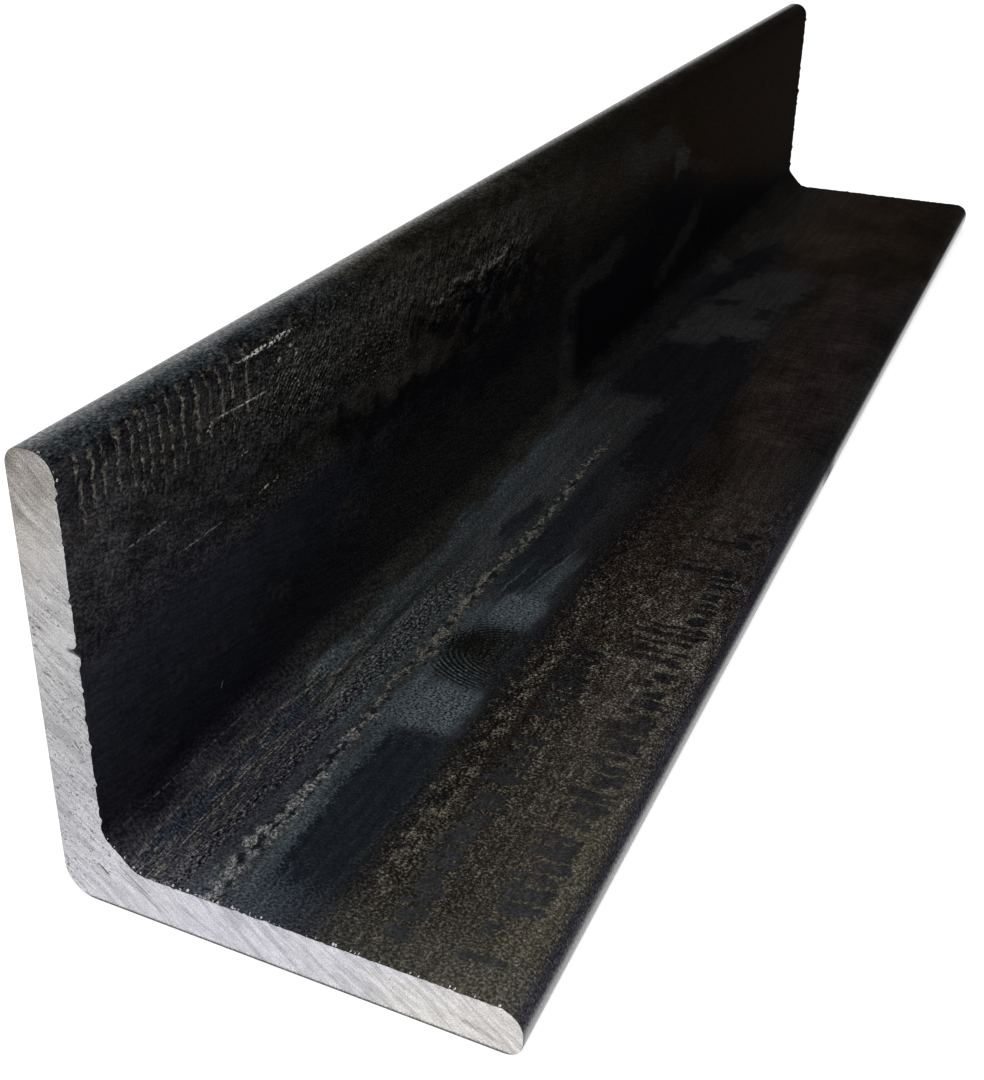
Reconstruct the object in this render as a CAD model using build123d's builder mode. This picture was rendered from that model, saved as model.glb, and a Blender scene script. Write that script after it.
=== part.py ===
"""A length of hot-rolled equal-leg steel angle, sawn square at both ends.

One leg lies flat and the other stands up along its edge.  X runs across the flat leg, from the
heel to the toe, Y runs along the bar, and Z runs up the standing leg.  The origin is at the
middle of the bar's length, under the middle of the flat leg, at floor level.
"""

import os

from build123d import *

# Driving dimensions, in millimetres
leg_width = 50.0         # outside width of each leg, from the heel to the toe
leg_thickness = 5.35     # of both legs: a nominal 5 mm angle, rolled a little heavy
bar_length = 280.0       # between the two sawn ends
heel_radius = 3.5        # outside corner, where the two legs meet
root_slope_size = 3.6    # inside corner: what its sloping flat covers of each leg
root_blend_radius = 2.0  # eases the sloping flat into both legs
toe_inner_radius = 2.6   # rolled round of each toe, on the inside of the section
toe_outer_radius = 1.9   # worn corner of each toe, on the outside of the section

# The rolled section stands across the bar at mid-length.  Its sketch starts at the sharp heel
# corner and runs along the flat leg first, then up the standing leg.
section_plane = Plane((-leg_width / 2, 0, 0), x_dir=(1, 0, 0), z_dir=(0, -1, 0))
slope_end = leg_thickness + root_slope_size

with BuildPart() as angle_bar:
    with BuildSketch(section_plane) as section:
        Rectangle(leg_width, leg_thickness, align=Align.MIN)
        Rectangle(leg_thickness, leg_width, align=Align.MIN)

        def corners(*points):
            """The section's corners that lie nearest to the given points."""
            return [section.vertices().sort_by_distance(point)[0] for point in points]

        fillet(corners((0, 0)), radius=heel_radius)
        fillet(
            corners((leg_width, leg_thickness), (leg_thickness, leg_width)),
            radius=toe_inner_radius,
        )
        fillet(corners((leg_width, 0), (0, leg_width)), radius=toe_outer_radius)
        chamfer(corners((leg_thickness, leg_thickness)), length=root_slope_size)
        fillet(
            corners((slope_end, leg_thickness), (leg_thickness, slope_end)),
            radius=root_blend_radius,
        )
    extrude(amount=bar_length / 2, both=True)

angle_bar.part.label = "angle_bar"

os.makedirs("parts", exist_ok=True)
export_step(angle_bar.part, "parts/angle_bar.step")
print(f"angle_bar: {angle_bar.part.volume / 1000:.2f} cm3")
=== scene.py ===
"""A sawn length of hot-rolled steel angle, lying on a white studio floor.

Lengths are in metres in the frame's own axes.  Every pattern is laid out in the bar's own
millimetres, measured from the heel corner at the near sawn end: x across the flat leg,
y along the bar and z up the standing leg.
"""

import math
import random

import bmesh
import bpy
from mathutils import Matrix, Vector, noise


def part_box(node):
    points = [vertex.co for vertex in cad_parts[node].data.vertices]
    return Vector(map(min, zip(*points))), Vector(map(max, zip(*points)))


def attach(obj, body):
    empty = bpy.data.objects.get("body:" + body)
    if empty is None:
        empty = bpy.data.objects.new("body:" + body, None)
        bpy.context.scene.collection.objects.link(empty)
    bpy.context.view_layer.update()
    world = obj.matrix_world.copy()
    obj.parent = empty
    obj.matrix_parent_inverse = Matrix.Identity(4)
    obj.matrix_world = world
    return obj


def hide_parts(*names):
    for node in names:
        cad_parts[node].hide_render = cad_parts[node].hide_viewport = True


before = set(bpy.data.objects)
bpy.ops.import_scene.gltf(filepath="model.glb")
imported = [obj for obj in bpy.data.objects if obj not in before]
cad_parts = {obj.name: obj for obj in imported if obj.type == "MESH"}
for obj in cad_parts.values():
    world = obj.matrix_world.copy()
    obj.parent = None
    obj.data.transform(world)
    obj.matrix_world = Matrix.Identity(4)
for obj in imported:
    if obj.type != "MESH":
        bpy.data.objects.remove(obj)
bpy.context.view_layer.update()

MM = 0.001
NODE = "angle_bar"

lowest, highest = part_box(NODE)
LEG = (highest.x - lowest.x) / MM
LENGTH = (highest.y - lowest.y) / MM
HEEL = Vector(lowest)

# The rolled section, in millimetres, as the solid has it
THICKNESS = 5.35
HEEL_RADIUS = 3.5
ROOT_SLOPE = 3.6
ROOT_BLEND = 2.0
TOE_INNER_RADIUS = 2.6
TOE_OUTER_RADIUS = 1.9

# The legs' inner faces are split along the bar, and each stretch has its own material
SPLITS = (49.0, 123.6)

# The scale is satin and dark, with far less gloss than bare steel
OXIDE_SPECULAR = 0.0005
# The hard skin over a toe, which shows only where it is seen edge on
SKIN_ROUGHNESS = 0.15
# What a toe's round side adds to a leg's width as it is laid flat, as a share of its depth
TOE_UNROLLED = 0.8

# What makes a Mix node mix colours
COLOURS = {"out": 2, "data_type": "RGBA"}


# ---------------------------------------------------------------- materials: the small tools


def srgb(code):
    """A colour written as sRGB hex, in the linear values that shaders take."""
    parts = [int(code[i : i + 2], 16) / 255 for i in (0, 2, 4)]
    linear = [p / 12.92 if p <= 0.04045 else ((p + 0.055) / 1.055) ** 2.4 for p in parts]
    return (*linear, 1.0)


def add(kind, inputs=None, out=0, tree=None, **settings):
    """Adds a shader node with its settings, sets or links its inputs, and gives its output.

    An input's value is a number, a vector, a colour as sRGB hex, or another node's output.  The
    node goes into the tree that its linked inputs are in, which their id_data gives.
    """
    inputs = inputs or {}
    linked = [value for value in inputs.values() if isinstance(value, bpy.types.NodeSocket)]
    tree = tree or linked[0].id_data
    node = tree.nodes.new("ShaderNode" + kind)
    for name, value in settings.items():
        setattr(node, name, value)
    for key, value in inputs.items():
        if value in linked:
            tree.links.new(value, node.inputs[key])
        else:
            node.inputs[key].default_value = srgb(value) if isinstance(value, str) else value
    return node.outputs[out]


def cloud(at, size, stretch=(1, 1, 1), detail=2.0, rough=0.5, shift=0.0, out="Fac"):
    """Plain noise about 0.5, with spots about `size` mm, longer along an axis by its stretch."""
    scale = [1 / (size * s) for s in stretch]
    placed = add("Mapping", {"Vector": at, "Location": (shift,) * 3, "Scale": scale})
    spots = {"Vector": placed, "Scale": 1.0, "Detail": detail, "Roughness": rough}
    return add("TexNoise", spots, out=out)


def rise(value, start, end, top=1.0):
    """Mask that goes from 0 at the start to its top at the end, either way round."""
    ends = {"Value": value, "From Min": start, "From Max": end, "To Max": top}
    return add("MapRange", ends, interpolation_type="SMOOTHSTEP")


def mottle(at, size, low=0.3, high=0.7, stretch=(1, 1, 1), detail=2.0, shift=0.0):
    """Cloudy mask between two levels of the noise."""
    return rise(cloud(at, size, stretch, detail, shift=shift), low, high)


def sway(value, mask, reach):
    """Moves a coordinate to and fro by up to `reach`, as the mask says."""
    moved = add("Math", {0: mask, 1: 0.5}, operation="SUBTRACT")
    return add("Math", {0: moved, 1: 2 * reach, 2: value}, operation="MULTIPLY_ADD")


def times(*masks):
    """What all the masks, and plain shares, have in common."""
    product = masks[0]
    for mask in masks[1:]:
        product = add("Math", {0: product, 1: mask}, operation="MULTIPLY")
    return product


def most(*masks):
    """The strongest of the masks at each spot."""
    top = masks[0]
    for mask in masks[1:]:
        top = add("Math", {0: top, 1: mask}, operation="MAXIMUM")
    return top


def off_line(value, middle):
    """Distance from a line, whose place is a number or runs with another value."""
    off = add("Math", {0: value, 1: middle}, operation="SUBTRACT")
    return add("Math", {0: off}, operation="ABSOLUTE")


def between(value, start, end, soft):
    """Mask of a strip from start to end in mm, with edges `soft` mm wide."""
    half = (end - start) / 2
    far = off_line(value, (start + end) / 2)
    return rise(far, half + soft / 2, half - soft / 2)


def ramp(value, rows):
    """Strengths or colours along a line: each row is a place in mm and what it has there."""
    start, reach = rows[0][0], rows[-1][0] - rows[0][0]
    share = add("MapRange", {"Value": value, "From Min": start, "From Max": start + reach})
    node = add("ValToRGB", {"Fac": share}).node
    stops = node.color_ramp.elements
    for place, _ in rows[1:-1]:
        stops.new((place - start) / reach)
    for stop, (_, tone) in zip(stops, rows):
        stop.color = srgb(tone) if isinstance(tone, str) else (tone, tone, tone, 1)
    return node.outputs["Color"]


def spans(value, pairs):
    """Mask of strips side by side: 1 within each (start, end) pair in mm, 0 between them."""
    edge, pairs_a_ramp = 0.14, 8
    parts = []
    for first in range(0, len(pairs), pairs_a_ramp):
        stops = []
        for start, end in pairs[first : first + pairs_a_ramp]:
            stops += [(start - edge, 0), (start + edge, 1), (end - edge, 1), (end + edge, 0)]
        parts.append(ramp(value, stops))
    return most(*parts)


def places(at, rim, rows):
    """Mask of blunt ovals on a leg: 1 inside them, with rims that the rim noise frays.

    Each row is: along, across, length, width in mm, turn in degrees, softness, strength.
    """
    ovals = []
    for along, across, length, width, turn, soft, strength in rows:
        local = add(
            "Mapping",
            {
                "Vector": at,
                "Location": (along, across, 0),
                "Rotation": (0, 0, math.radians(turn)),
                "Scale": (length / 2, width / 2, 1000.0),
            },
            vector_type="TEXTURE",
        )
        blunt = add("VectorMath", {0: local, 1: local}, operation="MULTIPLY")
        reach = add("VectorMath", {0: blunt}, out="Value", operation="LENGTH")
        frayed = add("Math", {0: reach, 1: rim}, operation="ADD")
        ovals.append(rise(frayed, 1 + soft, 1 - soft, strength))
    return most(*ovals)


def ragged(at, size, reach, shift):
    """Coordinates bent to and fro by up to half of `reach` mm, which makes smooth rims ragged."""
    bend = cloud(at, size, rough=0.7, shift=shift, out="Color")
    bend = add("VectorMath", {0: bend, 1: (0.5, 0.5, 0.5)}, operation="SUBTRACT")
    bend = add("VectorMath", {0: bend, "Scale": 2 * reach}, operation="SCALE")
    return add("VectorMath", {0: at, 1: bend}, operation="ADD")


def painted_relief(at, size, stretch, step, shift):
    """Painted light and shade of lumps, as a slanting light would show them: above 0 on the lit
    side of each, below 0 on the shaded side.
    """
    here = cloud(at, size, stretch, rough=0.65, shift=shift)
    aside = add("VectorMath", {0: at, 1: (*step, 0.0)}, operation="ADD")
    there = cloud(aside, size, stretch, rough=0.65, shift=shift)
    return add("Math", {0: here, 1: there}, operation="SUBTRACT")


def reaching(rows, stretch):
    """Those rows of a table of places that reach into one stretch of the bar."""
    start, end = stretch
    return [row for row in rows if row[0] - row[2] < end and row[0] + row[2] > start]


class Finish:
    """One material, built up in layers: what is laid last shows on top."""

    def __init__(self, name, metallic):
        self.material = bpy.data.materials.new(name)
        self.material.use_nodes = True
        self.tree = self.material.node_tree
        self.shader = self.tree.nodes["Principled BSDF"]
        self.shader.inputs["Metallic"].default_value = metallic
        if not metallic:
            self.shader.inputs["Specular IOR Level"].default_value = OXIDE_SPECULAR
        spot = add("TexCoord", out="Object", tree=self.tree)
        heel = {"Vector": spot, "Location": [-c / MM for c in HEEL], "Scale": (1 / MM,) * 3}
        self.x, self.y, self.z = add("SeparateXYZ", {0: add("Mapping", heel)}).node.outputs
        self.colour = self.roughness = self.sheen = None
        self.height = 0.0

    def start(self, colour, roughness):
        """Sets the bare ground that the tones are laid over."""
        self.colour, self.roughness = colour, roughness

    def lay(self, masks, tone, roughness=None):
        """Lays a tone over what is there, where a mask, or each mask of a tuple, is 1."""
        mask = times(*masks) if isinstance(masks, tuple) else masks
        self.colour = add("Mix", {0: mask, 6: self.colour, 7: tone}, **COLOURS)
        if roughness is not None:
            self.roughness = add("Mix", {0: mask, 2: self.roughness, 3: roughness})

    def lay_bands(self, across, along, sets):
        """Lays sets of bands: each takes over from what is there between two places in mm."""
        for tones, start, end in sets:
            self.lay(rise(along, start, end), ramp(across, tones))

    def raise_by(self, mask, height):
        """Raises the surface by a height in mm where the mask is 1."""
        raised = {0: mask, 1: height, 2: self.height}
        self.height = add("Math", raised, operation="MULTIPLY_ADD")

    def grain(self, mask, dark, light, share=1.0):
        """Darkens and lightens what is there between two factors, by its share of the effect."""
        factor = add("MapRange", {"Value": mask, "To Min": dark, "To Max": light})
        eased = add("Mix", {0: share, 2: 1.0, 3: factor})
        self.colour = add("VectorMath", {0: self.colour, "Scale": eased}, operation="SCALE")

    def glitter(self, fine, calm):
        """The fine grain of scale: dark grit and bright specks, with less of both where calm."""
        self.grain(rise(fine, 0.40, 0.76), 0.62, 2.3, calm)
        self.grain(rise(fine, 0.36, 0.50), 0.75, 1.08, calm)
        self.raise_by(rise(fine, 0.3, 0.7), 0.03)

    def finish(self):
        """Joins what was built up to the shader, and gives the material."""
        links, inputs = self.tree.links, self.shader.inputs
        links.new(self.colour, inputs["Base Color"])
        links.new(self.roughness, inputs["Roughness"])
        links.new(add("Bump", {"Height": self.height, "Distance": MM}), inputs["Normal"])
        if self.sheen is not None:
            links.new(self.sheen, inputs["Coat Weight"])
            inputs["Coat Roughness"].default_value = SKIN_ROUGHNESS
        return self.material


def leg_coordinates(finish, across, through):
    """A leg's own flat coordinates: along the bar, and across the leg and on over its toe."""
    sunk = add("Math", {0: THICKNESS, 1: through}, operation="SUBTRACT")
    sunk = add("Math", {0: sunk, 1: 0.0}, operation="MAXIMUM")
    over = {0: sunk, 1: TOE_UNROLLED, 2: across}
    reach = add("Math", over, operation="MULTIPLY_ADD")
    return add("CombineXYZ", {"X": finish.y, "Y": reach}), finish.y, reach


def crust_of_scale(at, fine, length):
    """What the scale of both legs shares: its crust, the flakes of it, wide clouds that are
    longer along the bar, and the noise that frays the rims of patches."""
    crust = cloud(at, 1.2, detail=3.0, rough=0.6, shift=9)
    flakes = rise(crust, 0.3, 0.7)
    clouds = mottle(at, 7.0, stretch=(length, 1, 1), shift=21)
    rim = add("MapRange", {"Value": flakes, "To Min": -0.22, "To Max": 0.22})
    return crust, flakes, clouds, sway(rim, fine, 1.0)


# ---------------------------------------------------------------- materials: the flat leg

# Bands across the leg, from the root to the toe, at growing distances from the sawn end.
# Their darkening towards the far end is partly browner scale and partly painted shade for the
# lamp's light falling off along the bar. The rows past 50 mm lie on the toe's round and side and
# grow lighter towards the underside: painted reflection of the white floor.
FLAT_SAWN = [
    (0.0, "28282c"), (7.2, "28282c"), (7.9, "303035"), (8.6, "2b2e35"),
    (9.6, "2d3037"), (10.4, "3b3b41"), (13.0, "404046"), (15.0, "3e4148"), (18.4, "3a3e44"),
    (22.0, "393f45"), (24.5, "30343a"), (27.5, "2c2e32"), (30.0, "333231"), (33.0, "383632"),
    (37.0, "3b3934"), (42.0, "45433c"), (47.5, "46443d"),
    (49.2, "403f3c"), (50.2, "323237"), (54.5, "3e3e44"),
]
FLAT_NEAR = [
    (0.0, "222226"), (7.2, "222226"), (8.0, "2b2b2f"), (8.6, "20242b"),
    (9.5, "23272e"), (10.2, "2c2c31"), (12.0, "29292f"), (13.0, "27272d"), (14.0, "28292f"),
    (14.6, "2c2e34"), (16.2, "2c2e33"), (18.0, "2f3235"), (18.8, "3d4447"), (20.0, "3b4246"),
    (20.8, "24292f"), (25.8, "1e2126"), (27.6, "1e1f22"), (29.4, "242322"), (30.6, "2c2a27"),
    (34.0, "26241f"), (39.0, "2b2824"), (44.0, "3b3831"), (47.6, "454239"),
    (49.2, "3a3834"), (50.0, "2a2a2e"), (51.0, "303036"), (54.5, "3a3a40"),
]
FLAT_MIDDLE = [
    (0.0, "1f1f1f"), (7.2, "1c1c1a"), (8.2, "272b2c"), (9.6, "292e30"),
    (10.4, "242523"), (12.2, "292b2b"), (13.6, "2c2e2f"), (15.0, "2e3234"), (16.4, "2c2f30"),
    (18.4, "2b2e2f"), (20.4, "292d2f"), (24.0, "2a2d2f"), (26.8, "212325"), (28.2, "1a1a1b"),
    (30.4, "1a1918"), (33.0, "191715"), (36.5, "1e1c19"), (40.5, "36322e"), (44.0, "403c37"),
    (47.2, "403d38"),
    (48.6, "2a292a"), (49.6, "242428"), (50.6, "2c2c32"), (54.5, "36363c"),
]
FLAT_BEYOND = [
    (0.0, "1d1d1b"), (7.2, "1d1d1b"), (8.4, "2c3133"), (10.0, "2d3032"),
    (12.4, "323437"), (14.6, "2c2e30"), (16.2, "292b2c"), (18.2, "262728"), (19.0, "1b1c1f"),
    (21.0, "1c1d20"), (24.0, "212124"), (27.6, "191819"), (30.0, "110f0f"), (33.6, "110f0e"),
    (37.0, "171411"),
    (39.0, "24201d"), (44.0, "262321"), (47.0, "1f1d1e"), (48.6, "1b1b1e"), (50.4, "25252b"),
    (54.5, "34343a"),
]
FLAT_FAR = [
    (0.0, "121211"), (7.2, "131312"), (9.0, "161617"), (12.0, "1a1b1c"), (18.0, "191a1b"),
    (26.0, "18181a"), (28.5, "191716"), (31.0, "1d1917"), (36.0, "221d1b"), (41.0, "221c1b"),
    (44.5, "1f1a19"), (47.5, "1b1817"), (49.5, "1b1919"), (51.0, "222223"), (54.5, "3a3a3c"),
]
FLAT_END = [
    (0.0, "12100f"), (7.2, "141210"), (9.0, "1a1817"), (14.0, "22201d"), (18.0, "251f1b"),
    (25.0, "261f1a"), (35.0, "1e1813"),
    (43.0, "19140f"), (47.5, "17120e"), (49.5, "1a1612"), (51.0, "282624"), (54.5, "3c3b3a"),
]

# Patches of smooth blue-grey scale, lighter than the bands round them partly by their own tone and
# partly as painted sheen of the smooth scale
SLATE_SHEEN_PATCHES = [
    (37.4, 23.4, 10.0, 8.0, 0, 0.4, 1.0),
    (60.2, 23.4, 9.5, 6.4, 6, 0.4, 0.95),
    (68.0, 24.8, 17.0, 2.2, 6, 0.6, 0.45),
    (71.5, 23.7, 13.5, 0.4, 9, 0.6, 0.6),
    (67.5, 20.0, 9.0, 0.35, 8, 0.6, 0.5),
    (36.5, 19.0, 15.0, 2.2, 0, 0.6, 0.7),
    (39.8, 8.1, 9.0, 1.5, 3, 0.6, 0.4),
    (47.0, 11.4, 22.0, 1.2, 0, 0.7, 0.3),
    (33.0, 15.0, 8.0, 1.4, 0, 0.6, 0.5),
    (33.0, 11.8, 6.0, 1.4, 0, 0.6, 0.4),
    (57.0, 19.2, 8.0, 2.0, 4, 0.6, 0.4),
]
DARK_PATCHES = [
    (25.0, 19.6, 14.0, 1.6, 0, 0.8, 0.5),
    (19.0, 24.1, 27.0, 7.4, 0, 0.14, 0.95),
    (69.5, 21.2, 13.0, 1.8, 8, 0.25, 0.9),
    (70.0, 22.9, 12.0, 0.5, 9, 0.4, 0.8),
    (76.0, 19.0, 16.0, 1.8, 2, 0.5, 0.8),
    (86.0, 21.0, 28.0, 4.6, 2, 0.7, 0.4),
    (83.5, 14.3, 15.0, 2.6, 3, 0.5, 0.8),
    (53.0, 10.1, 18.0, 1.0, 1, 0.6, 0.6),
    (52.0, 33.1, 30.0, 1.2, 0, 0.6, 0.6),
    (133.0, 24.8, 62.0, 10.2, -1, 0.25, 1.0),
    (146.0, 15.5, 30.0, 13.0, 4, 0.2, 1.0),
    (156.0, 22.0, 24.0, 10.0, 10, 0.2, 1.0),
    (205.0, 12.4, 48.0, 7.2, 9, 0.25, 0.9),
]
FAR_SLATE = [
    (173.0, 15.4, 25.0, 9.0, 4, 0.2, 0.75),
    (173.0, 22.5, 11.5, 10.0, 0, 0.15, 0.95),
    (194.0, 20.8, 31.0, 14.0, 10, 0.2, 0.7),
    (206.5, 9.8, 9.0, 5.0, 0, 0.3, 0.4),
    (119.0, 13.5, 26.0, 11.0, 0, 0.5, 0.6),
    (231.0, 11.5, 20.0, 6.0, 8, 0.5, 0.35),
]
FAR_NOTCHES = [
    (185.5, 15.5, 4.0, 5.5, 0, 0.3, 0.8),
    (182.0, 24.2, 6.0, 3.4, 0, 0.4, 0.8),
    (214.5, 13.8, 15.0, 6.2, 2, 0.3, 0.85),
    (192.0, 10.2, 28.0, 3.0, 8, 0.35, 0.6),
    (168.5, 9.8, 4.0, 4.0, 0, 0.5, 0.6),
]

# The pale seam of bare scale: its middle and half its width, in mm across, along the bar
SEAM_MIDDLE = [
    (0, 17.3), (6, 17.0), (10, 17.1), (15, 17.5), (20, 17.4), (26, 17.0), (33, 17.2),
    (38, 16.5), (41, 16.3), (44, 17.1), (48, 17.4), (55, 17.0), (60, 16.7), (66, 16.6),
    (72, 16.9), (76, 17.6), (84, 17.3), (92, 17.1), (100, 16.7), (120, 16.6),
]
SEAM_HALF_WIDTH = [
    (0, 1.2), (10, 1.2), (15, 1.0), (20, 0.8), (30, 0.8), (36, 0.8), (39, 0.6), (42, 0.7),
    (46, 1.1), (50, 1.2), (55, 1.0), (62, 1.0), (69, 0.65), (76, 0.75), (84, 0.55), (92, 0.65),
    (100, 0.5), (108, 0.35), (118, 0.0), (120, 0.0),
]

# Islands of darker scale left in the worn part: where each starts and ends along the bar
ISLANDS_INNER = [
    (3.3, 5.1), (6.0, 7.7), (8.2, 13.0), (13.6, 16.7), (17.1, 20.1), (20.7, 22.5),
    (23.2, 26.1), (27.9, 30.4), (31.1, 32.4), (32.9, 34.3), (35.6, 36.5), (40.8, 42.2),
    (43.0, 44.7), (45.1, 46.3), (46.8, 49.3), (49.7, 52.0), (52.4, 53.6), (54.6, 56.0),
]
ISLANDS_MIDDLE = [
    (3.9, 5.0), (7.5, 9.2), (10.6, 12.3), (12.7, 15.3), (15.7, 16.6), (19.5, 21.0),
    (21.6, 23.0), (29.4, 31.0), (36.1, 37.2), (40.3, 41.6), (42.0, 43.9), (45.7, 46.8),
    (51.4, 53.0),
]
ISLANDS_TOE = [
    (4.3, 5.2), (11.0, 12.5), (12.9, 15.0), (15.7, 16.8), (17.4, 18.9), (19.3, 21.9),
    (22.3, 23.0), (25.0, 26.0), (26.8, 29.0), (29.4, 31.0), (32.0, 34.0), (34.5, 36.0),
    (37.0, 37.9), (38.5, 41.4), (42.0, 46.0), (47.3, 49.1), (49.6, 51.0), (53.1, 55.1),
    (56.6, 58.0), (59.2, 59.8), (61.4, 62.4), (63.0, 64.3), (64.7, 65.8), (66.8, 68.8),
    (69.6, 70.8), (71.6, 72.4), (73.2, 75.0), (76.5, 77.6), (78.4, 79.5), (80.0, 81.7),
    (88.4, 90.6), (91.4, 93.0),
]
# Narrow fingers of it that run across, further along
FINGERS = [
    (56.8, 58.2), (59.0, 59.9), (61.0, 61.6), (62.8, 64.0), (64.9, 65.5), (79.6, 81.2),
    (82.4, 83.0), (88.6, 89.8),
]
ISLAND_ROWS = (
    (ISLANDS_INNER, 33.9, 36.7), (ISLANDS_MIDDLE, 42.2, 44.3), (ISLANDS_TOE, 44.0, 46.8),
    (FINGERS, 38.8, 43.4),
)


def worn_field(finish, at, along, across, fine, flakes, crust, clouds):
    """The speckled khaki field towards the toe, worn through to smooth dark islands."""
    edge = sway(sway(across, flakes, 1.2), fine, 3.0)
    field = times(rise(edge, 28.6, 32.6), rise(along, 118, 90))
    field = times(field, rise(sway(across, crust, 2.0), 50.3, 49.3))
    bends = cloud(at, 1.7, rough=0.65, shift=57)
    moved = sway(sway(along, bends, 0.9), crust, 0.5)
    reach = sway(sway(across, crust, 3.0), bends, 2.2)
    rows = [
        times(spans(moved, pairs), between(reach, start, end, 1.0))
        for pairs, start, end in ISLAND_ROWS
    ]
    spots = sway(sway(most(*rows), crust, 0.4), fine, 0.3)
    islands = times(rise(spots, 0.5, 0.6), field)
    rims = times(rise(spots, 0.34, 0.46), rise(spots, 0.60, 0.50), field)
    aged = rise(along, 20, 95)
    khaki = add("Mix", {0: aged, 6: "57534a", 7: "58514b"}, **COLOURS)
    mixed = add("Math", {0: crust, 1: 0.5, 2: fine}, operation="MULTIPLY_ADD")
    lit = times(between(along, 10, 76, 30), 0.4)
    lit = add("Math", {0: lit, 1: 0.32}, operation="ADD")
    finish.lay((rise(mixed, 0.72, 0.98), field, lit), khaki, 0.7)
    sunk = times(aged, rise(along, 100, 70), 0.7)
    finish.lay((rise(mixed, 0.75, 0.58), field, sunk), "131211")
    blots = cloud(at, 2.6, stretch=(1.4, 1, 1), rough=0.65, shift=66)
    blotted = times(field, rise(along, 18, 50))
    finish.grain(rise(blots, 0.36, 0.62), 0.6, 1.3, blotted)
    reddish = rise(blots, 0.46, 0.36)
    finish.lay((reddish, field, rise(along, 25, 60), 0.5), "2b1f1b")
    finish.lay((clouds, field, rise(along, 8, 30), 0.35), "26201d")
    # A ridge of thicker flakes where the field begins, with a darker furrow beside it
    edged = sway(across, crust, 2.2)
    clumps = cloud(at, 1.5, stretch=(1.3, 1, 1), detail=3, rough=0.7, shift=98)
    clumps = sway(clumps, fine, 0.25)
    belt = between(along, 8, 58, 18)
    gaps = times(between(edged, 28.6, 32.8, 1.6), rise(clumps, 0.50, 0.42))
    finish.lay((gaps, belt, 0.8), "131312")
    ridge = times(between(edged, 30.2, 32.6, 1.2), rise(clumps, 0.54, 0.61))
    finish.lay((ridge, belt, 0.6), "5e584e", 0.7)
    furrow = times(between(edged, 32.4, 33.8, 1.2), rise(along, 18, 32))
    finish.lay((furrow, rise(along, 80, 66), 0.75), "191514")
    darker = rise(along, 4, 66)
    tone = add("Mix", {0: darker, 6: "2e2f31", 7: "121215"}, **COLOURS)
    finish.lay((rims, rise(along, 4, 26), 0.6), "101012")
    covered = add("MapRange", {"Value": clouds, "To Min": 0.95, "To Max": 0.7})
    finish.lay((islands, covered), tone, 0.42)
    return field, islands


def toe_sheen(across, start, end, fine, least):
    """The hard skin of the scale over a toe, which turns bright where it is seen edge on."""
    skin = rise(sway(across, fine, 0.5), start, end)
    glints = {"Value": fine, "From Min": 0.36, "From Max": 0.6, "To Min": least, "To Max": 1.0}
    return times(skin, add("MapRange", glints))


def pale_seam(finish, at, along, across, fine, crust):
    """The lumpy pale seam where the scale has split along the leg."""
    middle = ramp(along, [(y, x / LEG) for y, x in SEAM_MIDDLE])
    middle = times(middle, LEG)
    width = ramp(along, [(y, w / 2) for y, w in SEAM_HALF_WIDTH])
    width = add("Math", {0: width, 1: 2.0, 2: 0.001}, operation="MULTIPLY_ADD")
    swayed = sway(across, crust, 2.6)
    off = add("Math", {0: off_line(swayed, middle), 1: width}, operation="DIVIDE")
    off = sway(off, fine, 1.2)
    lumps = cloud(at, 1.3, stretch=(1.5, 0.8, 1), detail=3, rough=0.6, shift=17)
    seam = times(rise(off, 1.1, 0.7), rise(lumps, 0.44, 0.52))
    pale = add("Mix", {0: rise(along, 10, 50), 6: "626262", 7: "54524c"}, **COLOURS)
    # A dark gutter on both sides of it: painted shadow, as if the seam stood up from the leg
    finish.lay((rise(off, 1.5, 1.0), rise(lumps, 0.46, 0.38), 0.8), "131417")
    finish.lay(seam, pale, 0.7)
    finish.grain(rise(fine, 0.36, 0.62), 0.45, 1.3, seam)


def smudge(finish, at, along, across, fine, flakes):
    """A rubbed smudge, dark, with fine ridges that curve round its two sides."""
    dome = add(
        "Mapping",
        {"Vector": at, "Location": (50.2, 27.6, 0), "Scale": (6.4, 9.4, 1000.0)},
        vector_type="TEXTURE",
    )
    reach = add("VectorMath", {0: dome}, out="Value", operation="LENGTH")
    toeward = rise(sway(across, flakes, 1.0), 28.6, 24.0)
    inside = times(rise(sway(reach, fine, 0.6), 1.08, 0.90), toeward)
    finish.lay(inside, "131312", 0.5)
    freckles = times(inside, rise(across, 20.5, 24.5), rise(fine, 0.54, 0.66))
    finish.lay((freckles, 0.35), "4b4a44")
    # About twelve ridges to the dome's radius, a half to three quarters of a millimetre apart
    rings = add("Math", {0: sway(reach, fine, 0.04), 1: 76.0}, operation="MULTIPLY")
    rings = add("Math", {0: rings}, operation="SINE")
    sides = most(rise(along, 50.0, 46.5), rise(along, 52.5, 54.5, 0.45))
    beside = times(
        between(reach, 0.60, 1.30, 0.2), sides,
        rise(across, 18.6, 20.0), rise(across, 27.0, 24.0),
    )
    finish.lay((rise(rings, -0.3, 0.4), beside), "101213")
    finish.lay((rise(rings, -0.2, -0.9), beside, 0.5), "4a5052")


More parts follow.
